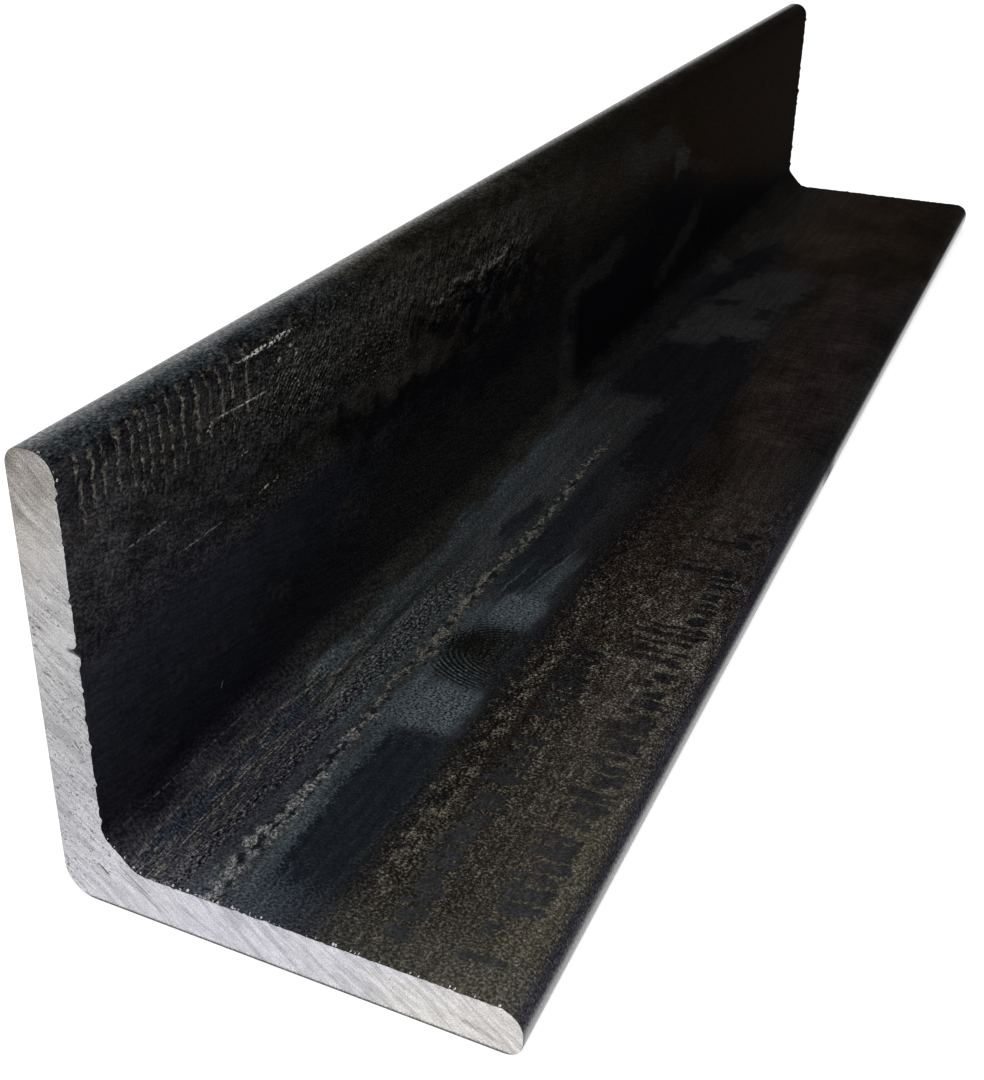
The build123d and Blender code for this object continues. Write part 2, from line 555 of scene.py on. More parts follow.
def flat_leg_scale(part, stretch):
    """Mill scale on the inside of the flat leg: satin slate-blue bands that run with the bar,
    a pale seam of split scale, and a speckled khaki field towards the toe with dark islands."""
    finish = Finish(f"mill scale, flat leg, {part} stretch", metallic=0.0)
    at, along, across = leg_coordinates(finish, finish.x, finish.z)
    near = stretch[0] < SPLITS[1]

    fine = cloud(at, 0.3, stretch=(1, 1.2, 1), rough=0.8, shift=3)
    crust, flakes, clouds, rim = crust_of_scale(at, fine, 1.8)
    wide_streak = mottle(at, 0.9, stretch=(14, 1, 1), shift=5)

    swayed = sway(across, wide_streak, 0.45)
    drift = sway(along, clouds, 7.0)
    patchy = ragged(at, 5.0, 0.8 if near else 4.0, 81)
    if near:
        finish.start(ramp(swayed, FLAT_SAWN), 0.55)
        burnt = sway(along, flakes, 2.0)
        finish.lay_bands(swayed, burnt, [(FLAT_NEAR, 1.5, 8.5)])
        finish.lay_bands(swayed, drift, [(FLAT_MIDDLE, 25, 42), (FLAT_BEYOND, 58, 76)])
    else:
        finish.start(ramp(swayed, FLAT_BEYOND), 0.55)
    finish.lay_bands(swayed, drift, [(FLAT_FAR, 100, 140)])
    if not near:
        finish.lay_bands(swayed, drift, [(FLAT_END, 200, 225)])
        ripple = cloud(at, 0.8, stretch=(1, 7, 1), shift=44)
        toeward = rise(across, 26, 34)
        finish.grain(rise(ripple, 0.35, 0.65), 0.8, 1.25, toeward)
        stains = cloud(at, 11.0, stretch=(1.6, 1, 1), detail=3, rough=0.6, shift=91)
        finish.grain(rise(stains, 0.36, 0.64), 0.7, 1.28, rise(across, 8, 26))

    if near:
        # Slate patches: partly the scale's own blue-grey, partly painted sheen of smooth scale
        slate = places(patchy, rim, SLATE_SHEEN_PATCHES)
        finish.lay(slate, "454d51", 0.6)
        finish.lay((rise(fine, 0.52, 0.42), slate, 0.8), "22272b")
    dark = places(patchy, rim, reaching(DARK_PATCHES, stretch))
    darker = rise(along, 60, 110)
    finish.lay(dark, add("Mix", {0: darker, 6: "1b1f23", 7: "131316"}, **COLOURS), 0.42)
    finish.lay(places(patchy, rim, reaching(FAR_SLATE, stretch)), "282829", 0.5)
    if not near:
        finish.lay(places(patchy, rim, FAR_NOTCHES), "121214", 0.45)

    calm = add("MapRange", {"Value": dark, "To Min": 1.0, "To Max": 0.45})
    if not near:
        farther = {"Value": rise(along, 215, 150), "To Min": 0.4}
        calm = times(calm, add("MapRange", farther))
    if near:
        root = times(between(across, 7.8, 13.2, 1.6), rise(along, 70, 25))
        streak = cloud(at, 0.24, stretch=(14, 1, 1), rough=0.8, shift=31)
        finish.grain(rise(streak, 0.36, 0.66), 0.7, 1.3, root)
        fibres = cloud(at, 1.6, stretch=(4, 1, 1), rough=0.65, shift=37)
        fibres = times(rise(fibres, 0.40, 0.56), rise(streak, 0.49, 0.66), root)
        finish.lay((fibres, 0.8), "69645b")
        finish.grain(rise(fine, 0.38, 0.62), 0.8, 1.25, root)

        # A line of pits and bright grains beside the root, which widens along the bar
        wider = rise(along, 26, 44)
        half = add("MapRange", {"Value": wider, "To Min": 0.8, "To Max": 2.0})
        line = add("Math", {0: off_line(swayed, 13.3), 1: half}, operation="DIVIDE")
        line = times(rise(line, 1.6, 0.4), rise(along, 74, 58))
        pits = cloud(at, 0.36, stretch=(1.7, 0.9, 1), rough=0.75, shift=14)
        finish.lay((rise(pits, 0.48, 0.40), line), "0a0a0d")
        finish.lay((rise(pits, 0.53, 0.63), line, 0.75), "696a6c")
        field, islands = worn_field(finish, at, along, across, fine, flakes, crust, clouds)
        smooth = add("MapRange", {"Value": islands, "To Min": 1.0, "To Max": 0.55})
        calm = times(calm, smooth)
        specks = times(field, between(along, 45, 80, 30))
        finish.grain(rise(fine, 0.42, 0.66), 0.7, 1.6, specks)
        pale_seam(finish, at, along, across, fine, crust)
        smudge(finish, at, along, across, fine, flakes)
    finish.glitter(fine, calm)
    finish.grain(wide_streak, 0.84, 1.16)
    finish.grain(flakes, 0.84, 1.16)
    finish.sheen = toe_sheen(across, 50.9, 52.2, fine, 0.75)
    return finish.finish()


# ---------------------------------------------------------------- materials: the standing leg

# Bands up the leg, from the root to the toe, at growing distances from the sawn end.
# Their darkening towards the far end is partly browner scale and partly painted shade for the
# lamp's light falling off along the bar. The rows past 50 mm lie on the toe's round and are much
# lighter: painted sheen where the toe is seen edge on.
STANDING_SAWN = [
    (0.0, "28282c"), (7.2, "28282c"), (8.0, "1c1c21"), (9.0, "17171c"), (12.0, "18181e"),
    (17.0, "1a1b20"), (22.0, "1f2026"), (27.0, "212228"), (30.0, "232327"), (34.0, "272729"),
    (38.0, "2e2d30"), (42.0, "2b2b2d"), (46.0, "242427"), (48.6, "232326"), (49.6, "232629"),
    (51.0, "2a2f32"), (52.6, "363b3e"), (54.5, "5c6264"),
]
STANDING_NEAR = [
    (0.0, "222226"), (7.2, "222226"), (8.2, "17171b"), (9.2, "121217"),
    (12.0, "121318"), (17.0, "15171c"), (22.0, "181b20"), (27.5, "1c1e24"), (29.5, "201f24"),
    (34.0, "201f22"), (38.0, "1e1e1f"), (41.5, "222121"), (44.5, "242323"), (47.0, "1f1f21"),
    (48.8, "161619"), (49.8, "1b1e21"), (51.2, "2a3033"), (52.8, "363c3e"), (54.5, "5c6264"),
]
STANDING_MIDDLE = [
    (0.0, "1f1f1f"), (7.2, "1f1f1f"), (8.2, "19191a"), (9.0, "161618"), (12.0, "131316"),
    (15.0, "111114"),
    (22.0, "131518"), (27.0, "15161b"), (30.5, "1b1b1d"), (33.0, "161615"), (37.0, "151516"),
    (41.0, "1b1b1a"), (44.5, "222222"), (46.6, "1f1f1f"), (48.4, "111112"), (49.8, "1b1d1f"),
    (51.2, "282b2c"), (52.8, "333637"), (54.5, "5a5d5e"),
]
STANDING_BEYOND = [
    (0.0, "1d1d1b"), (7.2, "1d1d1b"), (8.4, "181817"), (9.4, "161616"), (15.0, "151515"),
    (21.0, "111112"), (25.0, "0e0e10"), (29.0, "0c0c0e"), (32.0, "0e0c0b"), (36.0, "0c0b0b"),
    (39.0, "131210"), (40.5, "1a1917"), (44.0, "201f1c"), (47.0, "1b1a17"), (49.0, "13120f"),
    (50.6, "191815"), (52.0, "282723"), (53.0, "363531"), (54.5, "5a5a56"),
]
STANDING_FAR = [
    (0.0, "121211"), (7.2, "131312"), (8.4, "0d0c0c"), (10.0, "0a0a0b"), (15.0, "0a0a0b"),
    (20.0, "0b0b0d"), (25.0, "0c0c0d"), (30.0, "0d0c0c"), (34.0, "141210"), (38.0, "1c1916"),
    (41.0, "1d1a17"), (45.0, "161411"), (49.0, "110f0c"), (51.0, "15140f"), (52.4, "24231f"),
    (53.2, "31302c"), (54.5, "565551"),
]
STANDING_END = [
    (0.0, "12100f"), (7.2, "12100f"), (9.0, "0d0b0a"), (14.0, "0f0b09"), (20.0, "140e09"),
    (26.0, "160f0a"), (34.0, "150e09"), (42.0, "130d07"), (49.0, "100b07"), (51.0, "15120e"),
    (52.6, "262420"), (53.4, "312f2b"), (54.5, "52504c"),
]

# Fine cracks in the scale that run down from the toe: 1 on a crack, 0 halfway to the next
CRACKS = [
    (0, 0.3), (1.6, 0), (3, 1), (4, 0.2), (4.9, 1), (5.7, 0.3), (6.5, 0.95), (7.5, 0),
    (8.5, 1), (9.6, 0), (10.5, 0.95), (11.3, 0.3), (12, 1), (12.7, 0.3), (13.3, 0.95),
    (14.2, 0), (15, 1), (15.9, 0.2), (16.7, 1), (17.7, 0), (18.6, 0.97), (19.8, 0.2),
    (21, 1), (22, 0.2), (23, 0.95), (24.1, 0), (25.2, 1), (26.2, 0), (27.1, 1), (28.4, 0),
    (29.8, 0.95), (31, 0),
]
STANDING_DARK = [
    (54.0, 31.0, 15.0, 5.0, -14, 0.5, 0.6),
    (70.0, 28.6, 38.0, 4.6, -8, 0.35, 0.75),
    (88.5, 35.0, 13.0, 6.8, -4, 0.3, 1.0),
    (100.0, 35.5, 26.0, 6.0, 2, 0.7, 0.35),
    (97.0, 24.5, 26.0, 7.0, 0, 0.6, 0.7),
    (147.5, 19.0, 55.0, 9.0, 3, 0.3, 1.0),
    (151.0, 12.2, 47.0, 8.6, -3, 0.3, 1.0),
    (182.0, 25.0, 42.0, 8.0, -14, 0.35, 0.8),
    (208.0, 15.5, 28.0, 9.0, -2, 0.35, 0.9),
    (182.0, 31.6, 9.0, 2.2, -8, 0.4, 0.9),
]
STANDING_PALE = [
    (67.0, 44.6, 17.0, 7.6, 0, 0.5, 0.6),
    (64.0, 33.8, 26.0, 5.0, -5, 0.5, 0.4),
    (88.0, 40.2, 34.0, 1.8, 0, 0.4, 1.0),
    (99.5, 44.4, 12.0, 3.6, 0, 0.4, 0.7),
    (136.0, 25.8, 26.0, 4.2, 4, 0.5, 0.3),
    (122.0, 14.0, 9.0, 9.0, -20, 0.6, 0.2),
    (166.0, 39.5, 30.0, 6.0, -8, 0.6, 0.45),
    (182.0, 33.9, 10.0, 5.0, -12, 0.5, 1.0),
    (197.0, 29.6, 30.0, 3.0, -14, 0.6, 0.25),
    (184.5, 16.6, 28.0, 4.6, 16, 0.5, 0.3),
]
# Straight scratches from handling
SCRATCHES = [
    (15.0, 8.2, 24.0, 0.12, -1, 1.0, 0.08),
    (30.0, 43.2, 5.6, 0.2, -3, 1.0, 0.75),
    (25.6, 43.5, 2.4, 0.2, -2, 1.0, 0.6),
    (22.7, 43.1, 1.1, 0.22, 35, 0.8, 0.9),
    (11.2, 36.6, 6.0, 0.24, 0, 1.0, 0.25),
    (20.0, 32.1, 6.5, 0.2, -1, 1.0, 0.25),
    (31.8, 32.2, 1.6, 0.24, 6, 0.8, 0.9),
    (34.0, 32.2, 1.0, 0.2, 0, 0.8, 0.6),
    (28.3, 37.8, 1.6, 0.18, 0, 0.8, 0.5),
    (21.3, 13.2, 0.8, 0.18, 60, 0.8, 0.5),
]
# One torn scratch below the toe, in strands, with splinters beside it
TORN_SCRATCH = [
    (33.0, 48.0, 7.6, 0.45, -1, 0.9, 1.0),
    (37.2, 48.2, 3.6, 0.32, -6, 0.9, 0.9),
    (38.2, 46.3, 1.0, 0.4, 20, 0.9, 0.6),
    (36.2, 45.6, 0.6, 0.6, 0, 0.9, 0.6),
    (39.6, 45.2, 0.5, 0.8, 0, 0.9, 0.5),
]
RUST_SPOTS = [
    (33.2, 18.2, 4.8, 2.4, -14, 1.0, 0.45),
    (2.2, 42.0, 4.0, 2.0, 0, 1.0, 0.7),
    (28.0, 18.0, 2.6, 2.2, 0, 1.0, 0.35),
    (17.0, 18.4, 16.0, 2.0, 0, 1.0, 0.35),
    (50.0, 20.4, 8.0, 3.6, 0, 1.0, 0.4),
    (156.0, 37.5, 8.0, 2.4, -12, 0.8, 0.3),
]
ROUGH_SPOTS = [
    (35.0, 30.8, 22.0, 5.0, -3, 0.7, 0.7),
    (58.0, 38.0, 16.0, 8.0, -12, 0.6, 1.0),
    (44.0, 43.5, 38.0, 13.0, 0, 0.5, 1.0),
]
# Where the scale wrinkles like bark: painted light and shade of lumps, lit on one side and
# shaded on the other in the colour, with nothing raised in the surface
PAINTED_WRINKLES = [
    (14.0, 38.0, 30.0, 24.0, 0, 0.8, 0.35),
    (44.0, 42.0, 46.0, 15.0, 0, 0.6, 0.8),
    (78.0, 41.5, 56.0, 12.0, -3, 0.6, 1.0),
]


def cracked_rim(finish, at, along, across, fine):
    """Fine lumpy cracks running down from the toe near the sawn end: pale, each with a black
    painted shadow beside it.
    """
    wave = cloud(at, 2.4, stretch=(3, 1, 1), detail=1, shift=6)
    broken = cloud(at, 0.9, stretch=(0.7, 1.5, 1), rough=0.7, shift=15)
    kinks = cloud(at, 0.8, rough=0.65, shift=83)
    moved = sway(sway(sway(along, wave, 0.6), kinks, 0.6), fine, 0.3)
    reach = sway(across, rise(broken, 0.35, 0.65), 2.4)
    zone = times(rise(reach, 41.4, 45.0), rise(along, 31.2, 30.0))
    zone = times(zone, rise(reach, 50.4, 49.2))
    lumps = times(rise(broken, 0.40, 0.56), zone)
    # Painted shadow: a black line just beside each crack, as its raised edge would cast
    beside = add("Math", {0: moved, 1: 0.42}, operation="ADD")
    shade = times(rise(ramp(beside, CRACKS), 0.66, 1.0), lumps, 0.8)
    finish.lay(shade, "0a0a0c")
    pale = times(rise(ramp(moved, CRACKS), 0.64, 0.94), lumps, 0.78)
    finish.lay(pale, "625e57")


def hatching(finish, at, along, across, rim, fine):
    """A patch of fine slanting ripples where the rolls slipped."""
    slant, pitch = (-0.62, 0.78), 0.62
    steps = times(along, slant[0])
    steps = add("Math", {0: across, 1: slant[1], 2: steps}, operation="MULTIPLY_ADD")
    steps = sway(steps, mottle(at, 1.5, shift=8), 0.16)
    steps = times(sway(steps, fine, 0.35), 2 * math.pi / pitch)
    steps = add("Math", {0: steps}, operation="SINE")
    zone = places(at, rim, [(40.5, 41.5, 15.0, 7.5, 0, 0.6, 1.0)])
    zone = times(zone, mottle(at, 2.2, 0.34, 0.56, shift=29))
    finish.grain(rise(steps, -0.6, 0.9), 0.3, 2.8, zone)


def standing_leg_scale(part, stretch):
    """Mill scale on the inside of the standing leg: nearly black and smooth, blue low down,
    with fine pale cracks below the toe, handling scratches and a little rust."""
    finish = Finish(f"mill scale, standing leg, {part} stretch", metallic=0.0)
    at, along, across = leg_coordinates(finish, finish.z, finish.x)
    near = stretch[0] < SPLITS[1]
    first = stretch[0] == 0

    slanted = add("Mapping", {"Vector": at, "Rotation": (0, 0, math.radians(10))})
    fine = cloud(slanted, 0.28, stretch=(1.7, 1, 1), rough=0.8, shift=3)
    crust, flakes, clouds, rim = crust_of_scale(at, fine, 1.6)
    streak = mottle(slanted, 0.5, stretch=(9, 1, 1))

    swayed = sway(sway(across, clouds, 0.9), crust, 1.2)
    drift = sway(along, clouds, 7.0)
    if first:
        finish.start(ramp(swayed, STANDING_SAWN), 0.5)
        finish.lay_bands(swayed, drift, [(STANDING_NEAR, 3, 14), (STANDING_MIDDLE, 24, 38)])
    else:
        finish.start(ramp(swayed, STANDING_MIDDLE), 0.5)
    finish.lay_bands(swayed, drift, [(STANDING_BEYOND, 46, 62), (STANDING_FAR, 108, 136)])
    if not near:
        # The far end is browner, from a line that slants down along the bar
        line = add("Math", {0: across, 1: 3.6, 2: drift}, operation="MULTIPLY_ADD")
        brown = (rise(line, 284, 308), rise(drift, 138, 184))
        finish.lay(brown, ramp(swayed, STANDING_END))

    patchy = ragged(at, 6.0, 3.5, 81)
    dark = places(patchy, rim, reaching(STANDING_DARK, stretch))
    finish.lay(dark, "08080b", 0.4)
    pale = reaching(STANDING_PALE, stretch)
    if pale:
        finish.lay(places(patchy, rim, pale), "272624", 0.6)

    if near:
        # Wider mottling up the leg, a little warmer where it is light
        blots = cloud(at, 2.6, stretch=(1.6, 1, 1), detail=3.0, rough=0.65, shift=66)
        mottled = times(rise(across, 24, 34), rise(along, 122, 104))
        finish.grain(rise(blots, 0.36, 0.64), 0.7, 1.32, mottled)
        finish.lay((rise(blots, 0.50, 0.62), mottled, 0.2), "2a2823")

    low_smooth = times(between(swayed, 9.5, 28.5, 3.0), rise(along, 60, 35))
    calm = most(low_smooth, dark)
    calm = add("MapRange", {"Value": calm, "To Min": 1.0, "To Max": 0.45})
    if near:
        # Painted light and shade: lumps of the scale, and further along a strip of rolled-over
        # scale, are drawn into the colour as lit on one side and shaded on the other
        painted_wrinkles = places(at, rim, reaching(PAINTED_WRINKLES, stretch))
        painted_bump_shade = painted_relief(at, 1.0, (1, 1.8, 1), (0.12, -0.3), 12)
        finish.grain(rise(painted_bump_shade, -0.09, 0.11), 0.35, 2.0, painted_wrinkles)
        if not first:
            painted_plate_shade = painted_relief(at, 1.8, (1.3, 1, 1), (0.15, -0.45), 44)
            painted_curls = places(at, rim, [(88.0, 38.8, 36.0, 5.6, 1, 0.5, 1.0)])
            finish.grain(rise(painted_plate_shade, -0.08, 0.10), 0.4, 2.1, painted_curls)
        rough = cloud(at, 0.42, stretch=(1.4, 0.8, 1), rough=0.75, shift=33)
        zone = places(at, rim, reaching(ROUGH_SPOTS, stretch))
        finish.lay((rise(rough, 0.56, 0.74), zone, 0.8), "65635e", 0.6)
        finish.lay((rise(rough, 0.44, 0.34), zone, 0.75), "08080a", 0.6)
        toe = times(rise(across, 49.2, 50.6), rise(along, 75, 40))
        finish.grain(rise(rough, 0.40, 0.62), 0.6, 1.5, toe)
    if first:
        cracked_rim(finish, at, along, across, fine)
        hatching(finish, at, along, across, rim, fine)
        thin = times(places(at, rim, SCRATCHES), rise(fine, 0.42, 0.56))
        finish.lay(thin, "9a9a94", 0.35)
        torn = places(at, sway(sway(rim, crust, 3.0), fine, 4.0), TORN_SCRATCH)
        beads = cloud(at, 0.45, stretch=(1.6, 1, 1), detail=1, shift=77)
        finish.lay((torn, rise(beads, 0.44, 0.54)), "bcbcb6", 0.35)
        knobs = cloud(at, 1.3, stretch=(1.3, 0.8, 1), detail=3, rough=0.65, shift=51)
        below = times(between(sway(across, flakes, 0.8), 48.4, 50.2, 1.0), rise(along, 49, 36))
        finish.lay((rise(knobs, 0.46, 0.38), below, 0.95), "08080a")
        finish.lay((rise(knobs, 0.56, 0.68), below, 0.6), "524a40", 0.6)
    rust = reaching(RUST_SPOTS, stretch)
    if rust:
        rust = times(places(patchy, rim, rust), rise(crust, 0.42, 0.58))
        finish.lay(rust, "282220", 0.7)
    finish.glitter(fine, calm)
    finish.grain(streak, 0.8, 1.2)
    finish.grain(flakes, 0.8, 1.2, calm)
    lower = {0: rise(along, 40, 85), 1: -0.8, 2: across}
    shoulder = add("Math", lower, operation="MULTIPLY_ADD")
    finish.sheen = toe_sheen(shoulder, 50.9, 52.6, fine, 0.4)
    return finish.finish()


# ---------------------------------------------------------------- materials: outside and ends


def outer_scale():
    """Mill scale on the back and the underside: blue-black, in long bands from the rolls, with
    scuffs where the bar lay on other stock and thin rust along them."""
    finish = Finish("mill scale, outside", metallic=0.0)
    girth = add("Math", {0: finish.z, 1: finish.x}, operation="SUBTRACT")
    at = add("CombineXYZ", {"X": finish.y, "Y": girth})
    fine = cloud(at, 0.3, stretch=(1.3, 1, 1), rough=0.8, shift=3)
    crust = cloud(at, 1.2, detail=4.0, rough=0.6, shift=9)
    clouds = mottle(at, 8.0, stretch=(4.5, 1, 1), detail=3, shift=21)
    bands = mottle(at, 3.5, stretch=(22, 1, 1), detail=3, shift=5)
    finish.start("26272b", 0.5)
    finish.lay((bands, 0.8), "30353a", 0.45)
    worn = times(rise(sway(clouds, crust, 0.5), 0.55, 0.8), 0.75)
    finish.lay(worn, "3a3630", 0.65)
    mixed = add("Math", {0: fine, 1: crust}, operation="ADD")
    finish.lay((rise(mixed, 1.0, 1.3), worn, 0.6), "6a6355", 0.7)
    rust = mottle(at, 14.0, 0.56, 0.74, stretch=(3.5, 1, 1), detail=5, shift=61)
    finish.lay((rust, rise(crust, 0.42, 0.62), 0.7), "43301f", 0.8)
    scuffs = rise(cloud(at, 0.35, stretch=(26, 1, 1), shift=71), 0.63, 0.70)
    finish.lay((scuffs, rise(fine, 0.4, 0.55), 0.5), "7d7d7c", 0.4)
    finish.grain(rise(fine, 0.40, 0.76), 0.62, 2.1)
    finish.grain(rise(crust, 0.3, 0.7), 0.8, 1.2)
    finish.raise_by(rise(fine, 0.3, 0.7), 0.02)
    finish.raise_by(crust, 0.06)
    return finish.finish()


# Tones of the sawn face along the section, from the flat leg's toe round to the standing toe
SAWN_TONES = [
    (-50, "bdbab8"), (-38, "bebcbb"), (-28, "b8b7bc"), (-15, "b3b2b9"), (-6, "b8b7bc"),
    (2, "b7b6bb"), (10, "aaa9ad"), (20, "a8a7a9"), (30, "aeadae"), (40, "a29f9c"),
    (45, "8a8580"), (50, "756f69"),
]
# Marks on it: place across and up the section, length and width in mm, turn, softness, strength
SAWN_TEARS = [
    (5.0, 4.6, 1.7, 0.3, -44, 0.6, 0.9),
    (8.8, 4.3, 5.8, 0.13, -38, 0.8, 0.7),
    (7.7, 4.2, 3.0, 0.1, -40, 0.8, 0.5),
    (10.2, 2.7, 3.2, 0.12, -37, 0.8, 0.55),
    (12.0, 2.2, 2.6, 0.1, -38, 0.8, 0.4),
    (4.9, 30.0, 1.6, 0.45, -12, 0.8, 0.85),
    (1.2, 31.6, 0.9, 0.3, -30, 0.9, 0.6),
    (1.3, 26.6, 1.1, 0.3, -15, 0.9, 0.65),
    (0.5, 29.5, 0.5, 0.3, 0, 0.9, 0.5),
    (3.2, 21.6, 1.4, 0.2, -50, 0.9, 0.5),
    (3.9, 19.0, 1.8, 0.2, -60, 0.9, 0.6),
    (2.4, 22.6, 1.1, 0.18, -40, 0.9, 0.5),
    (2.0, 36.8, 0.4, 0.3, 0, 0.9, 0.5),
    (45.4, 1.9, 4.4, 0.6, -16, 1.0, 0.35),
]


def sawn_steel():
    """Bare steel as the saw leaves it: bright matt grey, combed by slanting tooth marks and
    dotted with short dark tears, with a dark band along the lower arris."""
    finish = Finish("sawn steel", metallic=1.0)
    across, up = finish.x, finish.z
    at = add("CombineXYZ", {"X": across, "Y": up})
    lean = add("Math", {0: up, 1: across}, operation="SUBTRACT")
    clouds = mottle(at, 4.0, detail=3)
    finish.start(ramp(sway(lean, clouds, 3.0), SAWN_TONES), 0.5)

    turned = add("Mapping", {"Vector": at, "Rotation": (0, 0, math.radians(39))})
    bend = cloud(at, 9.0, detail=1)
    combed = add("CombineXYZ", {"Y": times(bend, 3.0)})
    combed = add("VectorMath", {0: turned, 1: combed}, operation="ADD")
    lines = cloud(combed, 0.2, stretch=(14, 1, 1), detail=3, rough=0.6, shift=4)
    broad = cloud(combed, 0.8, stretch=(9, 1, 1), detail=3, shift=7)
    grit = cloud(at, 0.17, rough=0.8, shift=11)
    blotch = cloud(at, 1.1, detail=4, rough=0.6, shift=13)
    top = rise(lean, 34, 48)
    finish.grain(rise(lines, 0.3, 0.7), 0.86, 1.12)
    finish.grain(rise(broad, 0.34, 0.62), 0.84, 1.13)
    finish.grain(rise(blotch, 0.3, 0.7), 0.9, 1.08)
    finish.grain(rise(grit, 0.34, 0.66), 0.78, 1.17)
    finish.grain(rise(grit, 0.3, 0.62), 0.72, 1.2, top)

    edge = sway(times(grit, 0.4), blotch, 0.8)
    finish.lay(places(at, edge, SAWN_TEARS), "4a4847", 0.7)
    torn = most(between(lean, -3.0, 27.0, 8.0), between(lean, 29.0, 33.0, 3.0))
    torn = sway(times(torn, 0.09), blotch, 0.22)
    dashes = cloud(combed, 0.2, stretch=(3.4, 1, 1), rough=0.6, shift=19)
    dashes = add("Math", {0: dashes, 1: torn}, operation="ADD")
    finish.lay(rise(dashes, 0.64, 0.78, 0.6), "5c595a", 0.7)
    pits = cloud(at, 0.34, rough=0.7, shift=23)
    pits = add("Math", {0: pits, 1: torn}, operation="ADD")
    finish.lay(rise(pits, 0.67, 0.78, 0.7), "4a4645", 0.7)
    # A dark band along the lower arris, up to about half a millimetre above the floor
    finish.lay(rise(sway(up, grit, 0.3), 0.44, 0.22, 0.85), "2c2b2c", 0.6)
    finish.raise_by(lines, 0.03)
    finish.raise_by(grit, 0.02)
    return finish.finish()


# ---------------------------------------------------------------- the bar's mesh


def bar_point(x, y, z):
    """A place in the bar's millimetres, in the frame's metres."""
    return HEEL + Vector((x, y, z)) * MM


def round_corners(bm, spots, size, segments):
    """Rounds the section's corners at the given places; size is what it takes off each side."""
    corners = [min(bm.verts, key=lambda v: (v.co - bar_point(x, 0, z)).length) for x, z in spots]
    bmesh.ops.bevel(
        bm, geom=corners, offset=size * MM, offset_type="OFFSET", affect="VERTICES",
        segments=segments, profile=0.5, material=-1,
    )


# How finely the mesh is cut, in millimetres: round the section, along the bar, and how far from
# each sawn end the closer cuts lie
SIDE_STEP = 0.35
BAR_STEP = 5.0
END_CUTS = [0.5, 1.2, 2.2, 3.6]

# A bend in radians that only the sawn arrises pass, and the small round on them in mm
ARRIS_BEND = 1.2
ARRIS_ROUND = 0.12

# The frayed part of the inner arris: its depth from the sawn face, how far the fraying fades
# out over, and how near a toe's edge it stops
FRAYED_DEPTH = 0.4
FRAYED_FADE = 0.5
FRAYED_STOP = 1.5


def section_face(bm):
    """The L of the rolled section at the near end, with its sides cut into short steps."""
    t = THICKNESS
    outline = [(0, 0), (LEG, 0), (LEG, t), (t, t), (t, LEG), (0, LEG)]
    bm.faces.new([bm.verts.new(bar_point(x, 0, z)) for x, z in outline])
    round_corners(bm, [(0, 0)], HEEL_RADIUS, 10)
    round_corners(bm, [(LEG, t), (t, LEG)], TOE_INNER_RADIUS, 8)
    round_corners(bm, [(LEG, 0), (0, LEG)], TOE_OUTER_RADIUS, 6)
    round_corners(bm, [(t, t)], ROOT_SLOPE, 1)
    ends = [(t + ROOT_SLOPE, t), (t, t + ROOT_SLOPE)]
    round_corners(bm, ends, ROOT_BLEND * math.tan(math.radians(45 / 2)), 4)
    for edge in list(bm.edges):
        cuts = int(edge.calc_length() / (SIDE_STEP * MM)) - 1
        if cuts > 0:
            bmesh.ops.subdivide_edges(bm, edges=[edge], cuts=cuts)


# Chips and teeth along the inner arris: place round the section (up the standing leg from the
# root as positive, along the flat leg as negative), how far it stands out, and half its width
TORN_SPOTS = [
    (24.9, -0.75, 0.45), (24.0, 0.5, 0.4), (23.3, 0.3, 0.35), (41.2, 0.45, 0.3), (40.4, -0.3, 0.4),
    (35.6, 0.2, 0.3), (30.2, -0.25, 0.5), (20.6, 0.25, 0.3), (17.3, -0.3, 0.4), (14.2, 0.3, 0.3),
    (9.8, 0.35, 0.4), (5.4, 0.4, 0.35), (-4.2, 0.2, 0.3), (-15.2, 0.25, 0.3), (-18.4, 0.25, 0.4),
]


def torn_edge(place, seed):
    """How far the arris stands out at one place round the section, in mm."""
    out = 0.1 * noise.noise(Vector((place * 0.9, seed, 0.0)))
    out += 0.12 * noise.noise(Vector((place * 2.7, seed, 5.0)))
    out += 0.1 * noise.noise(Vector((place * 6.3, seed, 9.0)))
    for middle, reach, half_width in TORN_SPOTS:
        out += reach * max(0.0, 1 - abs(place - middle) / half_width)
    return out


def tear_arris(bm):
    """Frays the inner arris at both ends, where the saw tore out chips and left small teeth."""
    for vert in bm.verts:
        x, y, z = (vert.co - HEEL) / MM
        from_end = min(y, LENGTH - y)
        inside = min(x, z) >= THICKNESS - 0.45 and max(x, z) <= LEG - FRAYED_STOP
        if from_end > FRAYED_DEPTH or not inside:
            continue
        outwards = Vector((0.7, 0, 0.7))
        if z > THICKNESS + ROOT_SLOPE:
            outwards = Vector((1, 0, 0))
        elif x > THICKNESS + ROOT_SLOPE:
            outwards = Vector((0, 0, 1))
        fade = 1 - from_end / FRAYED_FADE
        vert.co += outwards * torn_edge(z - x, 2.0 if y < 1 else 7.0) * fade * MM


# Where burrs hang on the flat leg's upper arris: middle of a group in mm across, and how many
BURRS = [
    (6.3, 2), (7.4, 1), (8.8, 4), (10.9, 4), (12.8, 2), (14.3, 3), (16.1, 4), (18.2, 3),
    (20.4, 5), (22.0, 4), (23.6, 5), (25.0, 2), (28.6, 2), (31.2, 4), (33.2, 5), (36.0, 1),
    (39.4, 2), (43.2, 4), (45.0, 1), (47.6, 3),
]

# And where single ones hang on the standing leg's toe: across and up the section
TOE_BURRS = [(3.7, 49.5), (4.1, 49.4), (4.5, 49.1), (4.8, 48.7), (5.1, 48.2), (5.3, 47.4)]


